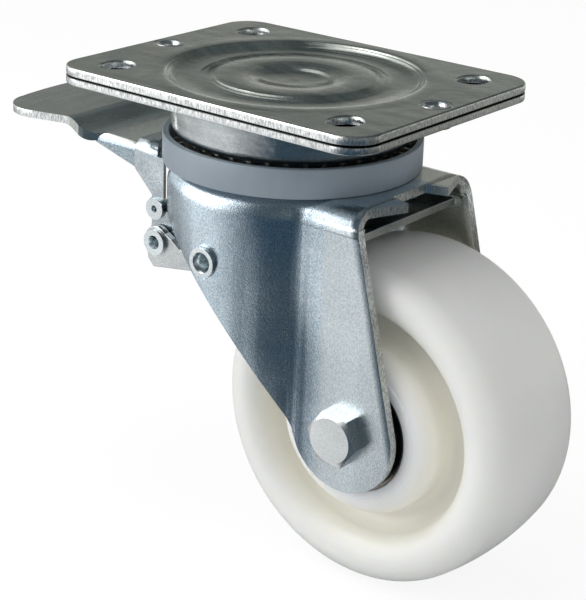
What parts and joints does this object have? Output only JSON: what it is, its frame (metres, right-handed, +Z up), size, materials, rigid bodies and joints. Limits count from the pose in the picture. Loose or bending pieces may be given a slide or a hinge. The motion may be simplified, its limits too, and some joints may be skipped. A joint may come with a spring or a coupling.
{
  "type": "braked swivel castor",
  "caption": "Plate-mounted swivel castor with a pressed-steel fork, a solid nylon wheel and a toe pedal that brakes the wheel and locks the swivel",
  "frame": {"origin": "centre of the mounting plate's top face, on the swivel axis", "axes": "+X toward the trailing wheel, Y along the axle, +Z up into the load"},
  "size_m": [0.237, 0.11, 0.1807],
  "materials": {
    "plate_zinc": "satin grey zinc plating with bright sheared edges",
    "bowl_zinc": "bright zinc plating",
    "fork_zinc": "glossy bluish zinc plating",
    "pedal_zinc": "satin grey zinc plating",
    "brake_zinc": "zinc plating",
    "pin_zinc": "bright zinc plating",
    "bolt_zinc": "bright zinc plating",
    "plain_steel": "oiled steel",
    "bearing_steel": "ground bearing steel",
    "ball_steel": "polished balls",
    "seal_dark": "dark brown-black shield",
    "ring_plastic": "matte blue-grey moulding",
    "wheel_nylon": "off-white nylon, slightly waxy"
  },
  "bodies": {
    "plate": {"top_plate": "plate_zinc", "bowl_plate": "bowl_zinc", "plate_eyelets": "bowl_zinc", "kingpin": "bolt_zinc", "kingpin_sleeve": "plain_steel", "lower_race": "plain_steel", "kingpin_nut": "bolt_zinc", "lock_ring": "brake_zinc"},
    "fork": {"fork": "fork_zinc", "dust_ring": "ring_plastic", "upper_balls": "ball_steel", "lower_balls": "ball_steel", "axle_bolt": "bolt_zinc", "axle_washer": "bolt_zinc", "axle_nut": "bolt_zinc", "axle_tube": "plain_steel", "bearing_spacers": "plain_steel", "near_bearing_inner": "bearing_steel", "far_bearing_inner": "bearing_steel", "brake_bracket": "brake_zinc", "brake_pivot": "pin_zinc", "pivot_spacers": "pin_zinc", "return_spring": "plain_steel", "pedal_pivot": "pin_zinc"},
    "wheel": {"wheel": "wheel_nylon", "near_bearing_outer": "bearing_steel", "far_bearing_outer": "bearing_steel", "near_bearing_seal": "seal_dark", "far_bearing_seal": "seal_dark", "near_bearing_balls": "ball_steel", "far_bearing_balls": "ball_steel"},
    "pedal": {"pedal_wing": "pedal_zinc", "pedal_hub": "brake_zinc", "pedal_rivets": "pin_zinc", "cam_pin": "pin_zinc"},
    "brake_plate": {"brake_plate": "brake_zinc"},
    "lock_pawl": {"lock_pawl": "brake_zinc"}
  },
  "joints": [
    {"name": "swivel", "type": "hinge", "parent": "plate", "child": "fork", "pos_m": [0, 0, 0], "axis": [0, 0, 1], "continuous": true},
    {"name": "wheel_spin", "type": "hinge", "parent": "fork", "child": "wheel", "pos_m": [0.0535, 0, -0.1172], "axis": [0, 1, 0], "continuous": true},
    {"name": "pedal_press", "type": "hinge", "parent": "fork", "child": "pedal", "pos_m": [-0.0378, 0, -0.0667], "axis": [0, -1, 0], "range_deg": [0, 20]},
    {"name": "brake_swing", "type": "hinge", "parent": "fork", "child": "brake_plate", "pos_m": [-0.0024, 0, -0.0622], "axis": [0, 1, 0], "range_deg": [0, 8], "deforming": ["return_spring"]},
    {"name": "pawl_lift", "type": "slide", "parent": "fork", "child": "lock_pawl", "axis": [0, 0, 1], "range_m": [0, 0.0057]}
  ],
  "couplings": [
    {"joint": "brake_swing", "follows": "pedal_press", "ratio": 0.4},
    {"joint": "pawl_lift", "follows": "pedal_press", "m_per_rad": 0.0163}
  ]
}
